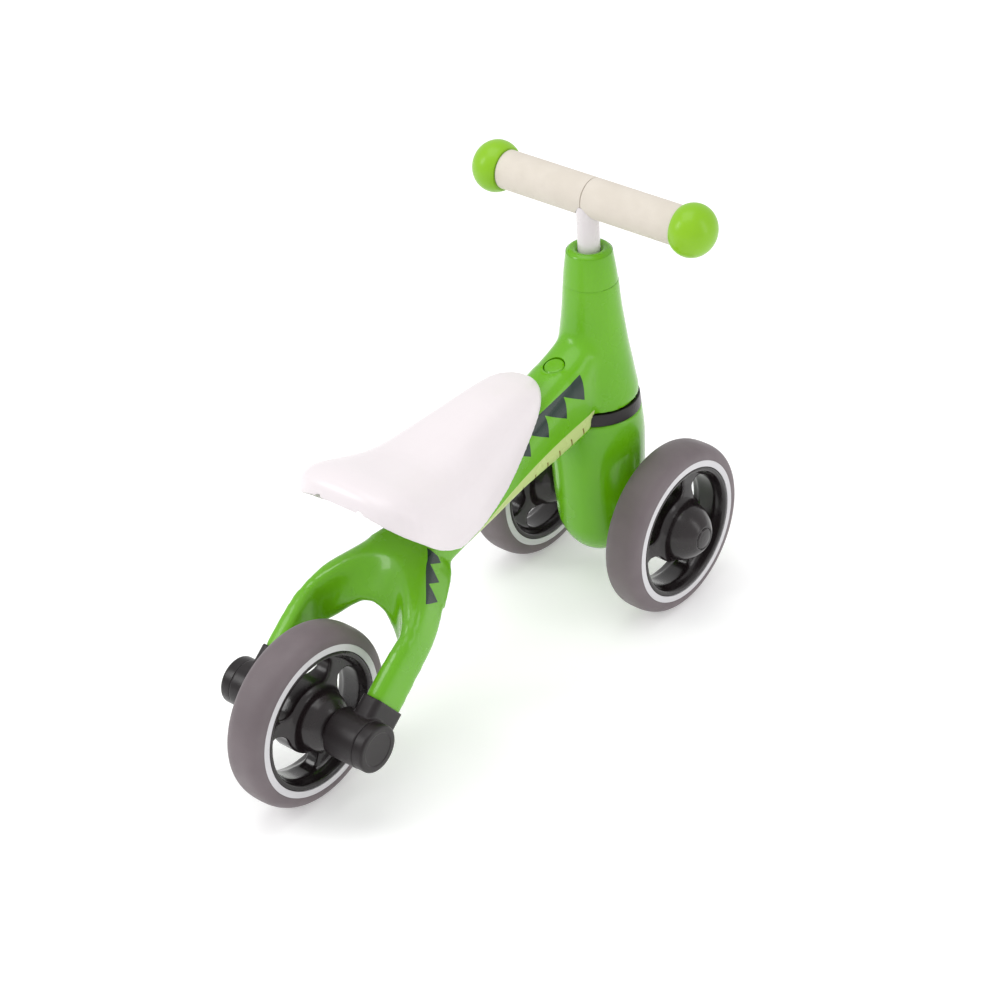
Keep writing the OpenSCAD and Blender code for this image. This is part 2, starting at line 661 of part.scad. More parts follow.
// A screw's own frame stands on the beam's top, with its Z straight up
module at_screw(y) { translate([0, y, beam_top(y)]) children(); }
function seat_top(y) = wheel_r + seat_lift + lookup(y,
    [for (i = [len(seat_lines) - 1:-1:0]) [rear_y - seat_lines[i][0], seat_lines[i][2]]]);
function screw_tip(y) = seat_top(y) - seat_wall - 6 - beam_top(y);
module seat_shell() {
    color(white) difference() {
        union() {
            difference() {
                seat_form(0, 0, seat_lines);
                seat_form(seat_wall, 6, seat_inner);
            }
            // Two bosses stand on the beam and take the screws
            intersection() {
                seat_form(seat_wall - 1, 60, seat_inner);
                for (y = screw_ys) at_screw(y) translate([0, 0, -8])
                    cylinder(h = 90, r = boss_r, $fn = 40);
            }
        }
        beam(-seat_gap, 2);
        for (y = screw_ys) at_screw(y) translate([0, 0, -20])
            cylinder(h = 20 + screw_tip(y) + 1, r = screw_d / 2 + seat_gap, $fn = 32);
    }
}
module seat_screws() {
    color(steel) for (y = screw_ys) at_screw(y) {
        low = beam_bottom(y) - beam_top(y) + 0.4;
        translate([0, 0, low]) cylinder(h = screw_head_t - 0.5, r = screw_d, $fn = 48);
        translate([0, 0, low + 1]) cylinder(h = screw_tip(y) - low - 1, r = screw_d / 2, $fn = 32);
    }
}

frame_shell();
head_collar();
frame_plug();
upper_bush();
lower_bush();
rear_housing_left();
rear_housing_right();
rear_cap_left();
rear_cap_right();
rear_axle();
rear_axle_nuts();
seat_shell();
seat_screws();
fork_body();
thrust_ring();
stem_tube();
stem_screw();
stem_clip();
bar_tube();
grip_left();
grip_right();
knob_left();
knob_right();
front_axle();
front_axle_nuts();
hub_cap_left();
hub_cap_right();
front_left_tyre();
front_left_rim();
front_left_rings();
front_left_bushes();
front_right_tyre();
front_right_rim();
front_right_rings();
front_right_bushes();
rear_tyre();
rear_rim();
rear_rings();
rear_bushes();
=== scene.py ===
# %% [markdown]
# # A three-wheeled balance bike for a one-year-old
# The bike is a moulded green frame on three small wheels, with a white seat shell and a round
# handlebar. Every visible piece is then built in its real place, in metres: x to the rider's
# left, y to the back, z up.

# %% The skeleton
import json
from math import asin, cos, pi, radians, sin

import bpy
from mathutils import Matrix, Quaternion, Vector


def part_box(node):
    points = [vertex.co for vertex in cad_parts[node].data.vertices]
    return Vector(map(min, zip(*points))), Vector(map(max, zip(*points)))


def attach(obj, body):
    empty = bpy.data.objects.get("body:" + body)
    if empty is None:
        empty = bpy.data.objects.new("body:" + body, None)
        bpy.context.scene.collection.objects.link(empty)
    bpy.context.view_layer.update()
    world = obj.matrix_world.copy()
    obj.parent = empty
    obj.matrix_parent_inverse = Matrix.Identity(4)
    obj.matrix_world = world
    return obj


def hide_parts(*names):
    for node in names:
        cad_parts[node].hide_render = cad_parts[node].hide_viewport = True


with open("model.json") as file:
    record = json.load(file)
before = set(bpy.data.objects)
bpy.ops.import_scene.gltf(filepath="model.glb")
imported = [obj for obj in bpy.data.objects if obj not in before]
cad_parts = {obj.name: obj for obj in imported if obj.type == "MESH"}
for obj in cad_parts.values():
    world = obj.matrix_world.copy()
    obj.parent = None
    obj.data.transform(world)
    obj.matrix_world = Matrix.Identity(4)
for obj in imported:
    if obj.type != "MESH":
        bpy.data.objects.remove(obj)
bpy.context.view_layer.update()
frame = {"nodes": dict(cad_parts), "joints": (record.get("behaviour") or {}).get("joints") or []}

nodes = frame["nodes"]

# %% [markdown]
# ## Sizes
# All three wheels share one set of sizes. The steering axis leans back a little, so the fork,
# the head and the handlebar are built upright first and then tipped onto that axis. The lean
# comes from the steering joint itself.

# %% Where the big parts are
MM = 0.001
joints = {joint["name"]: joint for joint in frame["joints"]}
steer_pos = Vector(joints["steer"]["pos_m"])
steer_axis = Vector(joints["steer"]["axis"]).normalized()
LEAN = Vector((0, 0, 1)).rotation_difference(steer_axis).to_matrix().to_4x4()
STEERED = Matrix.Translation(steer_pos) @ LEAN
REAR_HUB = Vector(joints["spin_rear"]["pos_m"])
TYRE_R = REAR_HUB.z / MM
TYRE_HALF = 17.2
AXLE_AHEAD = 4.0
BAR_Y, BAR_Z = -7.0, 295.2
print("tyre radius", round(TYRE_R, 2), "mm; steering axis", tuple(round(v, 4) for v in steer_axis))

# %% [markdown]
# ## Working by hand
# A few small helpers do what a hand does in the 3-D view: pick one object, turn edit mode on,
# pull a ring of edges up and widen it. A turned piece starts as one circle, which is extruded
# and resized row by row, as on a lathe. Cuts and joins are booleans that are applied at once.

# %% Picking and applying
def pick(thing):
    """Only this object is selected and active."""
    bpy.ops.object.select_all(action="DESELECT")
    thing.hide_set(False)
    thing.select_set(True)
    bpy.context.view_layer.objects.active = thing
    return thing


def apply_modifier(thing, kind, **settings):
    """A modifier is added, set and applied."""
    pick(thing)
    modifier = thing.modifiers.new(kind.title(), kind)
    for key, value in settings.items():
        setattr(modifier, key, value)
    bpy.ops.object.modifier_apply(modifier=modifier.name)
    return thing


def put(thing, matrix):
    """The object is moved to its place, which then goes into its mesh."""
    pick(thing)
    thing.matrix_world = matrix
    bpy.ops.object.transform_apply(location=True, rotation=True, scale=True)
    return thing


def smooth(thing, angle=40):
    """Soft shading, but edges sharper than the angle stay crisp."""
    pick(thing)
    bpy.ops.object.shade_smooth_by_angle(angle=radians(angle))
    return thing


def cut(thing, tool, operation="DIFFERENCE"):
    """The tool is taken from the thing, or joined to it, and then thrown away."""
    apply_modifier(thing, "BOOLEAN", operation=operation, solver="EXACT", object=tool)
    bpy.data.objects.remove(tool, do_unlink=True)
    return thing


# %% The lathe
def lathe(name, rows, sides=96, closed=False):
    """rows are (radius, height) in mm along +Z. A radius of 0 closes the end."""
    tiny = 0.02
    bpy.ops.object.select_all(action="DESELECT")
    radius, height = rows[0]
    bpy.ops.mesh.primitive_circle_add(vertices=sides, radius=max(radius, tiny) * MM,
                                      location=(0, 0, height * MM))
    thing = bpy.context.object
    thing.name = thing.data.name = name
    bpy.ops.object.transform_apply(location=True, rotation=True, scale=True)
    bpy.ops.object.mode_set(mode="EDIT")
    bpy.ops.mesh.select_all(action="SELECT")
    path = list(rows[1:]) + ([rows[0]] if closed else [])
    for new_radius, new_height in path:
        bpy.ops.mesh.extrude_region_move(
            TRANSFORM_OT_translate={"value": (0, 0, (new_height - height) * MM)})
        ratio = max(new_radius, tiny) / max(radius, tiny)
        bpy.ops.transform.resize(value=(ratio, ratio, 1), center_override=(0, 0, new_height * MM))
        radius, height = new_radius, new_height
    if not closed and radius > 0:
        bpy.ops.mesh.edge_face_add()
    bpy.ops.mesh.select_all(action="SELECT")
    bpy.ops.mesh.remove_doubles(threshold=0.00005)
    if not closed and rows[0][0] > 0:
        bpy.ops.mesh.select_all(action="DESELECT")
        bpy.ops.mesh.select_non_manifold(extend=False)
        bpy.ops.mesh.edge_face_add()
    bpy.ops.mesh.select_all(action="SELECT")
    bpy.ops.mesh.normals_make_consistent(inside=False)
    bpy.ops.object.mode_set(mode="OBJECT")
    return thing


def rounded(rows, fillets, steps=5):
    """A profile whose corners are rounded. fillets gives each row's radius in mm."""
    result = []
    for k, (point, fillet) in enumerate(zip(rows, fillets)):
        if fillet == 0 or k in (0, len(rows) - 1):
            result.append(point)
            continue
        here = Vector(point)
        back = (Vector(rows[k - 1]) - here).normalized()
        ahead = (Vector(rows[k + 1]) - here).normalized()
        for part in range(steps + 1):
            t = part / steps
            spot = here + back * fillet * (1 - t) ** 2 + ahead * fillet * t ** 2
            result.append((spot.x, spot.y))
    return result


def flowing(points, steps=6):
    """A smooth curve through the given profile points."""
    result = []
    for k in range(len(points) - 1):
        before = Vector(points[max(k - 1, 0)])
        a, b = Vector(points[k]), Vector(points[k + 1])
        after = Vector(points[min(k + 2, len(points) - 1)])
        for part in range(steps):
            t = part / steps
            spot = 0.5 * ((2 * a) + (b - before) * t + (2 * before - 5 * a + 4 * b - after) * t ** 2
                          + (3 * a - before - 3 * b + after) * t ** 3)
            result.append((max(spot.x, 0), spot.y))
    result.append(tuple(points[-1]))
    return result


def rod(radius, low, high, matrix=Matrix.Identity(4), sides=64):
    """A plain round tool for cutting and filling, in mm along the matrix's z axis."""
    return put(lathe("tool", [(radius, low), (radius, high)], sides), matrix)


print("the lathe is ready")

# %% [markdown]
# ## Copies of the skeleton's own shapes
# The frame, the seat, the rims and the housings are free forms. Their skeleton shapes are right
# in size but made of coarse loose triangles. A copy is merged, covered with an even skin of
# small squares, and relaxed, as clay is smoothed with a wet thumb.

# %% Even skin
def clay_copy(node, name, skin, relax, fillers=(), extra=()):
    """A merged, remeshed and relaxed copy of a skeleton shape. Fillers are joined first."""
    thing = nodes[node].copy()
    thing.data = nodes[node].data.copy()
    thing.name = thing.data.name = name
    for key in list(thing.keys()):
        del thing[key]
    thing.parent = None
    bpy.context.scene.collection.objects.link(thing)
    thing.data.materials.clear()
    pick(thing)
    bpy.ops.object.mode_set(mode="EDIT")
    bpy.ops.mesh.select_all(action="SELECT")
    bpy.ops.mesh.remove_doubles(threshold=0.00001)
    bpy.ops.object.mode_set(mode="OBJECT")
    for filler in fillers:
        cut(thing, filler, "UNION")
    apply_modifier(thing, "REMESH", mode="VOXEL", voxel_size=skin * MM, adaptivity=0)
    apply_modifier(thing, "SMOOTH", factor=0.5, iterations=relax)
    for keep, repeat in extra:
        relax_where(thing, keep, repeat)
    return smooth(thing, 50)


def relax_where(thing, keep, repeat):
    """Only the points that keep() says yes to are relaxed further."""
    pick(thing)
    bpy.ops.object.mode_set(mode="EDIT")
    bpy.ops.mesh.select_mode(type="VERT")
    bpy.ops.mesh.select_all(action="DESELECT")
    bpy.ops.object.mode_set(mode="OBJECT")
    for vertex in thing.data.vertices:
        vertex.select = bool(keep(vertex.co / MM))
    bpy.ops.object.mode_set(mode="EDIT")
    bpy.ops.mesh.vertices_smooth(factor=0.5, repeat=repeat)
    bpy.ops.object.mode_set(mode="OBJECT")


print("copies can be made")

# %% [markdown]
# ## Finishes
# Each finish is one procedural material. A moulded piece is never quite even: large soft clouds
# change its colour a little, finer ones its gloss, and a very fine grain lifts its surface.
# Patterns read Object coordinates, so they stay on the piece when it moves.

# %% Small steps in a node tree
def step(tree, operation, *values):
    """One Math node. A value is a number or another node's output."""
    node = tree.nodes.new("ShaderNodeMath")
    node.operation = operation
    for socket, value in zip(node.inputs, values):
        if isinstance(value, (int, float)):
            socket.default_value = value
        else:
            tree.links.new(value, socket)
    return node.outputs[0]


def all_of(tree, *masks):
    """1 where every mask is 1."""
    result = masks[0]
    for mask in masks[1:]:
        result = step(tree, "MULTIPLY", result, mask)
    return result


def tint(tree, mask, below, above):
    """below where the mask is 0, above where it is 1. Each is a colour or an output."""
    mix = tree.nodes.new("ShaderNodeMix")
    mix.data_type = "RGBA"
    tree.links.new(mask, mix.inputs["Factor"])
    for socket, value in ((mix.inputs[6], below), (mix.inputs[7], above)):
        if isinstance(value, tuple):
            socket.default_value = (*value, 1)
        else:
            tree.links.new(value, socket)
    return mix.outputs[2]


def clouds(tree, scale, detail=3, low=0.35, high=0.65):
    """Soft noise in Object coordinates, stretched to fill 0 to 1."""
    place = tree.nodes.new("ShaderNodeTexCoord")
    noise = tree.nodes.new("ShaderNodeTexNoise")
    noise.inputs["Scale"].default_value = scale
    noise.inputs["Detail"].default_value = detail
    tree.links.new(place.outputs["Object"], noise.inputs["Vector"])
    spread = tree.nodes.new("ShaderNodeMapRange")
    spread.inputs["From Min"].default_value = low
    spread.inputs["From Max"].default_value = high
    tree.links.new(noise.outputs["Fac"], spread.inputs["Value"])
    return spread.outputs["Result"]


# %% One recipe for moulded and metal finishes
def finish_of(name, colour, darker, roughness, grain, lift, coat=0.0, metallic=0.0, specular=0.5,
              sheen=0.0, pattern=None, cloud_scale=14, worn=0.15):
    """colour and darker are the two ends of the clouds; roughness is a pair; grain is a scale."""
    material = bpy.data.materials.new(name)
    material.use_nodes = True
    tree = material.node_tree
    shader = tree.nodes["Principled BSDF"]
    shader.inputs["Metallic"].default_value = metallic
    shader.inputs["Specular IOR Level"].default_value = specular
    shader.inputs["Coat Weight"].default_value = coat
    shader.inputs["Coat Roughness"].default_value = 0.06
    shader.inputs["Sheen Weight"].default_value = sheen
    base = tint(tree, clouds(tree, cloud_scale), darker, colour)
    if pattern:
        base = pattern(tree, base)
    tree.links.new(base, shader.inputs["Base Color"])
    rough = tree.nodes.new("ShaderNodeMapRange")
    rough.inputs["To Min"].default_value = roughness[0]
    rough.inputs["To Max"].default_value = roughness[1]
    tree.links.new(clouds(tree, 38, 5), rough.inputs["Value"])
    handled = step(tree, "MULTIPLY", clouds(tree, 9, 6, 0.52, 0.75), worn)
    tree.links.new(step(tree, "ADD", rough.outputs["Result"], handled), shader.inputs["Roughness"])
    bump = tree.nodes.new("ShaderNodeBump")
    bump.inputs["Strength"].default_value = 0.5
    bump.inputs["Distance"].default_value = lift
    tree.links.new(clouds(tree, grain, 4, 0.2, 0.8), bump.inputs["Height"])
    tree.links.new(bump.outputs["Normal"], shader.inputs["Normal"])
    return material


def dress(thing, material):
    """The piece gets its finish."""
    thing.data.materials.clear()
    thing.data.materials.append(material)
    return thing


print("finishes can be mixed")

# %% [markdown]
# ## The printed pattern on the frame
# Both sides of the frame carry the same print: dark teeth under the top edge, a pale stripe with
# thin ticks along the bottom edge, and small dark teeth down each rear leg. Each print is a
# mask made of a few lines, in millimetres. A sawtooth is the fraction of a length.

# %% Teeth, stripe and ticks
GREEN = (0.138, 0.43, 0.001)
GREEN_DEEP = (0.122, 0.40, 0.001)
TEETH = (0.003, 0.022, 0.014)
STRIPE = (0.52, 0.64, 0.24)
TICK = (0.17, 0.11, 0.015)
TEETH_FROM, TEETH_TO = -138, -42
TOOTH_PITCH = 24
LEG_TOOTH_PITCH = 15
LEG_Y, LEG_Z = 65, 173
LEG_COS, LEG_SIN = 0.835, 0.551
STRIPE_FROM, STRIPE_TO = -152, 26
TICK_PITCH = 15.7


def print_on_frame(tree, base):
    """The teeth, stripe and ticks over the frame's green."""
    place = tree.nodes.new("ShaderNodeTexCoord")
    split = tree.nodes.new("ShaderNodeSeparateXYZ")
    tree.links.new(place.outputs["Object"], split.inputs["Vector"])
    x, y, z = (step(tree, "MULTIPLY", split.outputs[k], 1 / MM) for k in range(3))
    side = step(tree, "ABSOLUTE", x)

    def more(a, b):
        return step(tree, "GREATER_THAN", a, b)

    def less(a, b):
        return step(tree, "LESS_THAN", a, b)

    def line(value, slope, level):
        return step(tree, "MULTIPLY_ADD", value, slope, level)

    def curve(value, square, slope, level):
        return step(tree, "ADD", step(tree, "MULTIPLY", step(tree, "MULTIPLY", value, value), square),
                    line(value, slope, level))

    # Large teeth hang from the beam's top edge
    edge = line(y, -0.26, 234.5 - 0.26 * 137)
    saw = step(tree, "FRACT", line(y, 1 / TOOTH_PITCH, -TEETH_FROM / TOOTH_PITCH))
    large = all_of(tree, less(z, edge), more(z, step(tree, "SUBTRACT", edge, line(saw, -20, 23))),
                   more(side, 16), more(y, TEETH_FROM), less(y, TEETH_TO))
    # Small teeth run down the outside of each leg
    along = step(tree, "ADD", line(y, LEG_COS, -LEG_Y * LEG_COS),
                 line(z, -LEG_SIN, LEG_Z * LEG_SIN))
    across = step(tree, "ADD", line(y, LEG_SIN, -LEG_Y * LEG_SIN),
                  line(z, LEG_COS, -LEG_Z * LEG_COS))
    skewed = step(tree, "ADD", along, step(tree, "MULTIPLY", across, -0.55))
    nick = step(tree, "FRACT", line(skewed, 1 / LEG_TOOTH_PITCH, 5 / LEG_TOOTH_PITCH))
    small = all_of(tree, less(across, 0), more(across, line(nick, -14, -3)), more(along, -2),
                   less(skewed, 40), more(side, line(along, 0.62, 22)))
    # The pale stripe follows the beam's bottom edge
    foot = curve(y, -0.000445, -0.3188, 143.56)
    top = step(tree, "ADD", foot, curve(y, -0.0006, -0.080, 14.5))
    stripe = all_of(tree, less(z, top), more(z, foot), more(side, 17), more(y, STRIPE_FROM),
                    less(y, STRIPE_TO))
    lean = step(tree, "SUBTRACT", y, step(tree, "MULTIPLY", step(tree, "SUBTRACT", z, foot), 0.25))
    beat = step(tree, "FRACT", line(lean, 1 / TICK_PITCH, 137 / TICK_PITCH))
    tick = all_of(tree, stripe, less(beat, 0.09),
                  less(z, step(tree, "MULTIPLY", step(tree, "ADD", top, foot), 0.5)))
    teeth = step(tree, "MAXIMUM", large, small)
    return tint(tree, tick, tint(tree, stripe, tint(tree, teeth, base, TEETH), STRIPE), TICK)


frame_green = finish_of("frame_green", GREEN, GREEN_DEEP, (0.2, 0.3), 900, 0.00004, coat=0.25,
                        specular=0.35, pattern=print_on_frame)
fork_green = finish_of("fork_green", GREEN, GREEN_DEEP, (0.18, 0.28), 900, 0.00004, coat=0.25,
                       specular=0.35)
knob_green = finish_of("knob_green", (0.250, 0.52, 0.008), (0.225, 0.49, 0.006), (0.3, 0.4), 700,
                       0.00005, coat=0.1, specular=0.35)
print("greens and their print are mixed")

# %% The other finishes
gloss_black = finish_of("gloss_black", (0.016, 0.011, 0.012), (0.011, 0.008, 0.009), (0.16, 0.26),
                        700, 0.00005, coat=0.1, specular=0.45)
satin_black = finish_of("satin_black", (0.010, 0.006, 0.007), (0.007, 0.004, 0.005), (0.24, 0.34),
                        1400, 0.00008, specular=0.4)
foam_grey = finish_of("tyre_foam", (0.158, 0.128, 0.138), (0.136, 0.110, 0.119), (0.42, 0.56), 1600,
                      0.00016, worn=0.1, cloud_scale=30)
ring_white = finish_of("ring_white", (0.66, 0.65, 0.67), (0.61, 0.60, 0.62), (0.35, 0.45), 1200,
                       0.00006)
shell_white = finish_of("shell_white", (0.80, 0.745, 0.765), (0.78, 0.725, 0.745), (0.3, 0.4), 1100,
                        0.00005, coat=0.1)
sleeve_cream = finish_of("sleeve_cream", (0.68, 0.625, 0.55), (0.65, 0.595, 0.52), (0.6, 0.75), 1500,
                         0.00020, cloud_scale=60)
stem_paint = finish_of("stem_paint", (0.72, 0.68, 0.69), (0.69, 0.65, 0.66), (0.22, 0.32), 900,
                       0.00004, coat=0.3)
nylon = finish_of("nylon", (0.66, 0.66, 0.62), (0.60, 0.60, 0.56), (0.4, 0.5), 1200, 0.00008)
zinc_steel = finish_of("zinc_steel", (0.55, 0.56, 0.58), (0.45, 0.46, 0.48), (0.25, 0.4), 1500,
                       0.00008, metallic=1.0)
print(len(bpy.data.materials), "materials in the file")

# %% [markdown]
# ## The frame
# The real frame is one hollow moulding: a head, a beam that slopes back, and an arch with two
# legs over the rear wheel. Its parts run into each other in soft fillets. So the steering bore
# and the plug's pocket are filled and the head's top is made longer before the even skin goes
# on, the join behind the head and the arch are relaxed further than the rest, and the bore, the
# pocket and both ends of the head are cut at the end, crisp.

# %% Frame shell
HEAD_FOOT, HEAD_TOP = 112, 222
HEAD_TOP_R = 23.2
HEAD_FOOT_TOOL_R = 42.3
BORE_R, BORE_FILLER_R = 12.65, 16.5
POCKET_R, POCKET_FILLER_R = 9.5, 9.6
WIDE = 60
plug_low, plug_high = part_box("frame_plug")
plug_mid = (plug_low + plug_high) / 2
PLUG_TILT = Matrix.Translation(plug_mid) @ Matrix.Rotation(radians(-17.1), 4, "X")


def near_head(spot):
    """The join behind the head, where the beam runs into it, and the back of the head above."""
    return -172 < spot.y < -126 and spot.z > 190


def near_arch(reach):
    """The arch over the wheel, up to a distance back along the legs."""
    return lambda spot: 72 < spot.y < reach


frame_shell = clay_copy(
    "frame_shell", "frame_moulding", 1.8, 14,
    fillers=[rod(BORE_FILLER_R, HEAD_FOOT - 6, HEAD_TOP + 6, STEERED),
             rod(POCKET_FILLER_R, -6, 1.2, PLUG_TILT),
             put(lathe("tool", [(HEAD_TOP_R, HEAD_TOP - 4), (HEAD_TOP_R, HEAD_TOP + 6)]), STEERED)],
    extra=[(near_head, 40), (near_arch(148), 8), (near_arch(140), 10), (near_arch(130), 16),
           (near_arch(120), 16)])
cut(frame_shell, rod(HEAD_FOOT_TOOL_R, 40, HEAD_FOOT, STEERED, 96))
cut(frame_shell, rod(WIDE, HEAD_TOP, HEAD_TOP + 20, STEERED))
cut(frame_shell, rod(BORE_R, 90, 240, STEERED))
cut(frame_shell, rod(POCKET_R, -8, 12, PLUG_TILT))
dress(smooth(frame_shell, 45), frame_green)
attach(frame_shell, "frame")
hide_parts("frame_shell")
print("frame", len(frame_shell.data.polygons), "faces")

# %% Plug in the beam
plug = lathe("beam_plug", rounded([(0, -5), (9.0, -5), (9.0, 1.2), (7.2, 2.2), (0, 2.6)],
                                  [0, 0.4, 0.9, 0.6, 0]), 64)
dress(smooth(put(plug, PLUG_TILT), 45), fork_green)
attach(plug, "frame")
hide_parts("frame_plug")
print("plug at", tuple(round(v / MM, 1) for v in plug_mid))

# %% [markdown]
# ## Head collar, thrust ring and fork
# These are turned pieces on the steering axis. The collar caps the head, the black ring turns
# between head and fork, and the fork is a smooth bulb that carries the front axle.

# %% Collar
collar = lathe("collar", rounded(
    [(12.7, 226), (15, 219), (15, 222.2), (23.2, 222.2), (21.8, 234.4), (20.2, 246), (19.4, 250.4),
     (15.8, 253), (12.4, 252.4), (10.7, 250.6), (9.8, 249.6), (9.8, 226)],
    [0, 0, 0, 0.3, 4, 4, 2.2, 1.4, 1.0, 0.3, 0, 0]), closed=True)
dress(smooth(put(collar, STEERED), 35), fork_green)
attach(collar, "frame")
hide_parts("head_collar")
print("collar made")

# %% Thrust ring
RING_LOW, RING_HIGH = 100.75, 111.55
ring = lathe("thrust_ring_band", rounded(
    [(11, RING_LOW), (39.1, RING_LOW), (38.0, RING_HIGH), (11, RING_HIGH)], [0, 0.7, 0.7, 0]),
    closed=True)
dress(smooth(put(ring, STEERED), 35), satin_black)
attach(ring, "steering")
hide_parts("thrust_ring")
print("thrust ring made")

# %% Fork
AXLE_BOSS_R, AXLE_BOSS_HALF = 10, 38.6
SCREW_HOLE_R, SCREW_HEIGHT = 5.4, 58
FORK_TOP = 100.55
fork_profile = flowing([(0, -44)] + [(39 * cos(radians(a)) - 1, 46 * sin(radians(a)))
                                     for a in range(-72, 1, 18)]
                       + [(40, 28), (41.2, 58), (41, 80), (39.2, 99.2)], 4) + [(38.4, 100.6)]
fork = put(lathe("fork_bulb", fork_profile), STEERED)
AXLE_ALONG = STEERED @ Matrix.Translation((0, -AXLE_AHEAD * MM, 0)) @ Matrix.Rotation(pi / 2, 4, "Y")
cut(fork, rod(AXLE_BOSS_R, -AXLE_BOSS_HALF, AXLE_BOSS_HALF, AXLE_ALONG), "UNION")
apply_modifier(fork, "REMESH", mode="VOXEL", voxel_size=1.5 * MM, adaptivity=0)
apply_modifier(fork, "SMOOTH", factor=0.5, iterations=5)
SCREW_ALONG = STEERED @ Matrix.Translation((0, 0, SCREW_HEIGHT * MM)) @ Matrix.Rotation(pi / 2, 4, "X")
cut(fork, rod(SCREW_HOLE_R, 33.5, 60, SCREW_ALONG, 48))
cut(fork, rod(WIDE, FORK_TOP, 120, STEERED))
dress(smooth(fork, 40), fork_green)
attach(fork, "steering")
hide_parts("fork_body")
print("fork", len(fork.data.polygons), "faces")

# %% [markdown]
# ## Handlebar
# Two soft plastic sleeves meet in the middle over a steel bar, with a fine seam between them,
# and a round green knob closes each end. The bar runs across, so each piece is turned upright
# and then laid along x.

# %% Sleeves and knobs
BAR = STEERED @ Matrix.Translation((0, BAR_Y * MM, BAR_Z * MM)) @ Matrix.Rotation(pi / 2, 4, "Y")
BAR_HOLE_R, SLEEVE_R, SEAM_HALF, SLEEVE_END = 8.65, 16.8, 0.25, 89.9
STEM_NOTCH_R, STEM_NOTCH_DROP = 9.8, 2.6
KNOB_MID, KNOB_R, KNOB_DEEP, KNOB_ROWS = 101, 22.3, 19.9, 26
for side, name in ((1, "left"), (-1, "right")):
    across = BAR @ Matrix.Diagonal((1, 1, side, 1))
    sleeve = lathe("sleeve_" + name, rounded(
        [(BAR_HOLE_R, SEAM_HALF), (SLEEVE_R, SEAM_HALF), (SLEEVE_R, SLEEVE_END),
         (BAR_HOLE_R, SLEEVE_END)], [0, 0.9, 0.9, 0]), closed=True)
    put(sleeve, across)
    cut(sleeve, rod(STEM_NOTCH_R, 240, BAR_Z - STEM_NOTCH_DROP, STEERED, 128))
    dress(smooth(sleeve, 35), sleeve_cream)
    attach(sleeve, "steering")
    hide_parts("grip_" + name)
    low = asin((90.15 - KNOB_MID) / KNOB_DEEP)
    turns = [low + (pi / 2 - low) * k / KNOB_ROWS for k in range(KNOB_ROWS + 1)]
    dome = [(max(KNOB_R * cos(turn), 0), KNOB_MID + KNOB_DEEP * sin(turn)) for turn in turns]
    knob = lathe("knob_end_" + name, [(8.55, 90.2)] + dome)
    dress(smooth(put(knob, across), 50), knob_green)
    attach(knob, "steering")
    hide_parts("knob_" + name)
print("sleeves and knobs made")

# %% [markdown]
# ## Seat
# The seat is a thin white shell, pointed at the front and wide at the back, with a raised tail.
# Its skeleton shape is already a shell, so a finer skin and a light relax are enough.

# %% Seat shell
seat = clay_copy("seat_shell", "seat_moulding", 0.95, 12)
dress(seat, shell_white)
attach(seat, "frame")
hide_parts("seat_shell")
print("seat", len(seat.data.polygons), "faces")

# %% [markdown]
# ## Wheels
# Every wheel is a black moulded rim with three windows, a grey foam tyre with round shoulders,
# and a white ring pressed into each side. Tyre and ring are turned once and copied to the other
# wheels, each copy with its own mesh.

# %% Rims
WHEELS = {"front_left": ("spin_front_left", "wheel_front_left"),
          "front_right": ("spin_front_right", "wheel_front_right"),
          "rear": ("spin_rear", "wheel_rear")}
for wheel, (_, body) in WHEELS.items():
    rim = clay_copy(wheel + "_rim", wheel + "_rim_moulding", 1.2, 6)
    dress(rim, gloss_black)
    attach(rim, body)
    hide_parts(wheel + "_rim")
    print(wheel, "rim", len(rim.data.polygons), "faces")

# %% Tyres and rings
POWER = 2 / 2.7
SHOULDER_R, TYRE_INNER_R, RING_SEAT = 65, 59.25, 15.95
crown = []
for k in range(25):
    turn = pi * k / 24
    out = SHOULDER_R + (TYRE_R - SHOULDER_R) * max(sin(turn), 0) ** POWER
    level = TYRE_HALF * abs(cos(turn)) ** POWER * (1 if k < 12 else -1 if k > 12 else 0)
    crown.append((out, level))
tyre_rows = [(TYRE_INNER_R, RING_SEAT), (SHOULDER_R, RING_SEAT)] + crown + [
    (SHOULDER_R, -RING_SEAT), (TYRE_INNER_R, -RING_SEAT)]
first_tyre = lathe("tyre", tyre_rows, 128, closed=True)
first_ring = lathe("pale_ring", rounded(
    [(59.3, 16.05), (64.9, 16.05), (64.9, 17.2), (59.3, 17.2)], [0, 0, 0.4, 0]), 128, closed=True)
for wheel, (joint, body) in WHEELS.items():
    hub = Matrix.Translation(Vector(joints[joint]["pos_m"])) @ Matrix.Rotation(pi / 2, 4, "Y")
    tyre = first_tyre.copy()
    tyre.data = first_tyre.data.copy()
    tyre.name = tyre.data.name = wheel + "_foam_tyre"
    bpy.context.scene.collection.objects.link(tyre)
    dress(smooth(put(tyre, hub), 50), foam_grey)
    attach(tyre, body)
    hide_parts(wheel + "_tyre")
    for side, face in ((1, "outer"), (-1, "inner")):
        band = first_ring.copy()
        band.data = first_ring.data.copy()
        band.name = band.data.name = wheel + "_pale_ring_" + face
        bpy.context.scene.collection.objects.link(band)
        put(band, hub @ (Matrix.Identity(4) if side == 1 else Matrix.Rotation(pi, 4, "X")))
        dress(smooth(band, 40), ring_white)
        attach(band, body)
        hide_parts(wheel + "_rings")
for spare in (first_tyre, first_ring):
    bpy.data.objects.remove(spare, do_unlink=True)
print("tyres and rings made")
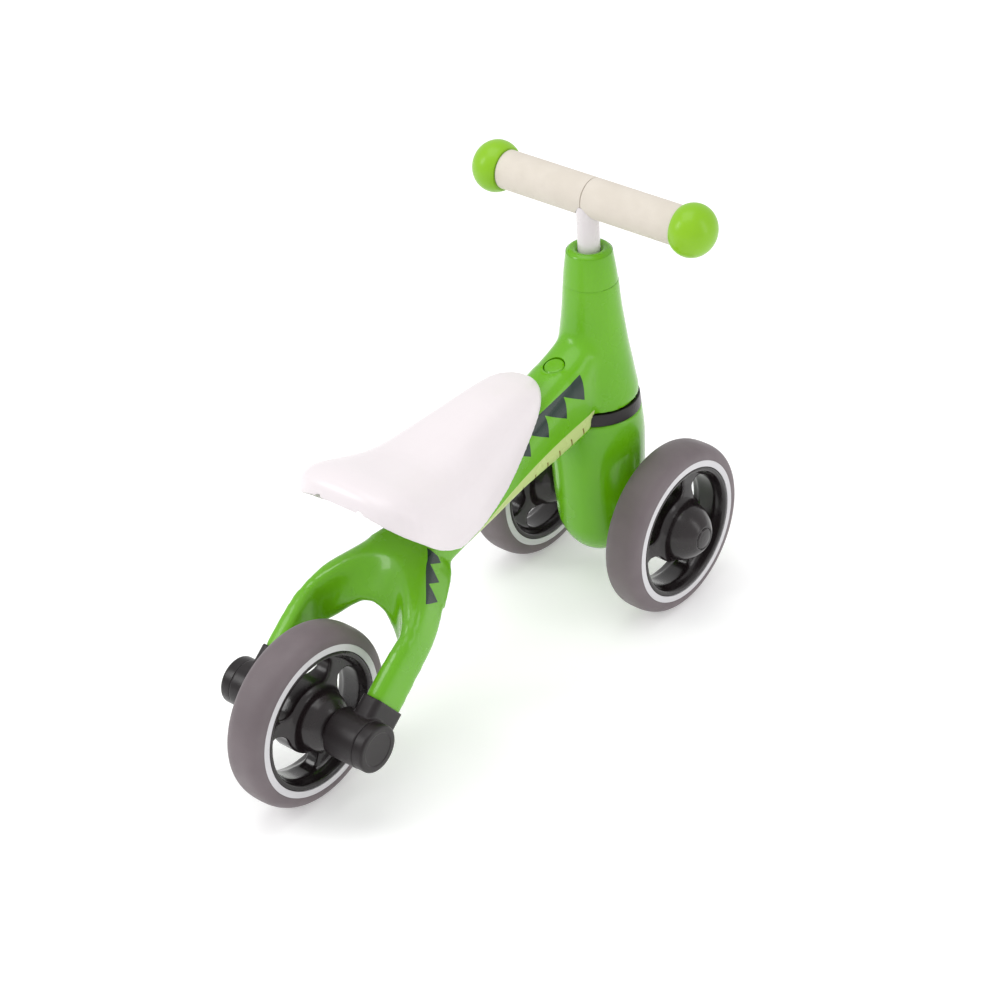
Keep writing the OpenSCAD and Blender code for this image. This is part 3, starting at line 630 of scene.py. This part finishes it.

# %% [markdown]
# ## Rear housings and caps
# A black housing holds each rear leg and the axle's end, and a round cap closes it.

# %% Housings and caps
CAP_R, CAP_DISH_R, CAP_FOOT, CAP_END, DISH_FLOOR = 20.1, 13.8, 66.1, 76, 75.5
for side, name in ((1, "left"), (-1, "right")):
    housing = clay_copy("rear_housing_" + name, "housing_" + name, 0.9, 3)
    dress(housing, satin_black)
    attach(housing, "frame")
    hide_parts("rear_housing_" + name)
    outward = Matrix.Translation(REAR_HUB) @ Matrix.Rotation(pi / 2 * side, 4, "Y")
    cap = lathe("axle_cap_" + name, rounded(
        [(0, CAP_FOOT), (CAP_R, CAP_FOOT), (CAP_R, CAP_END), (CAP_DISH_R + 0.7, CAP_END),
         (CAP_DISH_R, DISH_FLOOR), (0, DISH_FLOOR)],
        [0, 0.3, 2.4, 0.3, 0.3, 0]))
    dress(smooth(put(cap, outward), 35), satin_black)
    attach(cap, "frame")
    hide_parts("rear_cap_" + name)
print("housings and caps made")

# %% [markdown]
# ## Small parts that keep their skeleton shape
# The stem, the axles, nuts, screws and bushes are already right. They only get real finishes.

# %% Finishes for the kept parts
KEPT = {"stem_tube": (stem_paint, "stem_white"), "bar_tube": (zinc_steel, "steel"),
        "stem_screw": (zinc_steel, "steel"), "seat_screws": (zinc_steel, "steel"),
        "front_axle": (zinc_steel, "steel"), "rear_axle": (zinc_steel, "steel"),
        "front_axle_nuts": (zinc_steel, "steel"), "rear_axle_nuts": (zinc_steel, "steel"),
        "hub_cap_left": (gloss_black, "black_gloss"), "hub_cap_right": (gloss_black, "black_gloss"),
        "stem_clip": (nylon, "nylon"), "upper_bush": (nylon, "nylon"), "lower_bush": (nylon, "nylon"),
        "front_left_bushes": (nylon, "nylon"), "front_right_bushes": (nylon, "nylon"),
        "rear_bushes": (nylon, "nylon")}
for node, (material, slot) in KEPT.items():
    for place in nodes[node].material_slots:
        place.material = material
    print(node, "is", material.name)

# %% [markdown]
# ## Studio
# The bike stands on a white floor in a white room. A large soft light hangs overhead, and two
# smaller ones stand at its sides, which give the long soft highlights on the gloss.

# %% Floor, world and lights
bpy.ops.object.select_all(action="DESELECT")
bpy.ops.mesh.primitive_plane_add(size=12, location=(0, 0, 0))
floor = bpy.context.object
floor.name = "floor"
floor_paper = finish_of("floor_paper", (0.93, 0.93, 0.93), (0.92, 0.92, 0.92), (0.8, 0.9), 300,
                        0.00002, specular=0.1, worn=0.0)
floor_paper.node_tree.nodes["Principled BSDF"].inputs["Emission Color"].default_value = (1, 1, 1, 1)
floor_paper.node_tree.nodes["Principled BSDF"].inputs["Emission Strength"].default_value = 0.25
floor.data.materials.append(floor_paper)

world = bpy.data.worlds.new("white_room")
world.use_nodes = True
world.node_tree.nodes["Background"].inputs["Color"].default_value = (1, 1, 1, 1)
world.node_tree.nodes["Background"].inputs["Strength"].default_value = 0.80
bpy.context.scene.world = world


def softbox(name, spot, aim, size, power):
    """An area light that looks at a point."""
    bpy.ops.object.light_add(type="AREA", location=spot)
    light = bpy.context.object
    light.name = name
    light.data.shape = "RECTANGLE"
    light.data.size, light.data.size_y = size
    light.data.energy = power
    light.rotation_euler = (Vector(aim) - Vector(spot)).to_track_quat("-Z", "Y").to_euler()


softbox("overhead", (0.2, 0.1, 1.9), (0, 0, 0.15), (1.3, 1.3), 9)
softbox("side_strip", (-1.6, -0.6, 0.9), (0, 0, 0.2), (0.4, 1.4), 4)
softbox("key_window", (1.1, 1.2, 1.3), (0, 0, 0.2), (0.5, 0.9), 8)
print("studio lit")

# %% [markdown]
# ## Camera
# The camera looks down on the bike from behind, at the rider's right. A long lens from far away
# keeps the wheels' sizes true, and a small roll sets the bike a little out of plumb.

# %% The view
CAMERA_SPOT = (-1.1887, 1.2968, 1.3373)
CAMERA_LOOK = (0.5512, -0.6260, -0.5516)
CAMERA_ROLL = -3.01
CAMERA_LENS = 93.53
camera_data = bpy.data.cameras.new("camera")
camera = bpy.data.objects.new("camera", camera_data)
bpy.context.scene.collection.objects.link(camera)
camera.location = CAMERA_SPOT
look = Vector(CAMERA_LOOK)
camera.rotation_mode = "QUATERNION"
camera.rotation_quaternion = look.to_track_quat("-Z", "Y") @ Quaternion((0, 0, 1), radians(CAMERA_ROLL))
camera_data.lens = CAMERA_LENS
camera_data.sensor_width = 36
bpy.context.scene.camera = camera
bpy.context.scene.view_settings.view_transform = "Standard"
print("camera set")
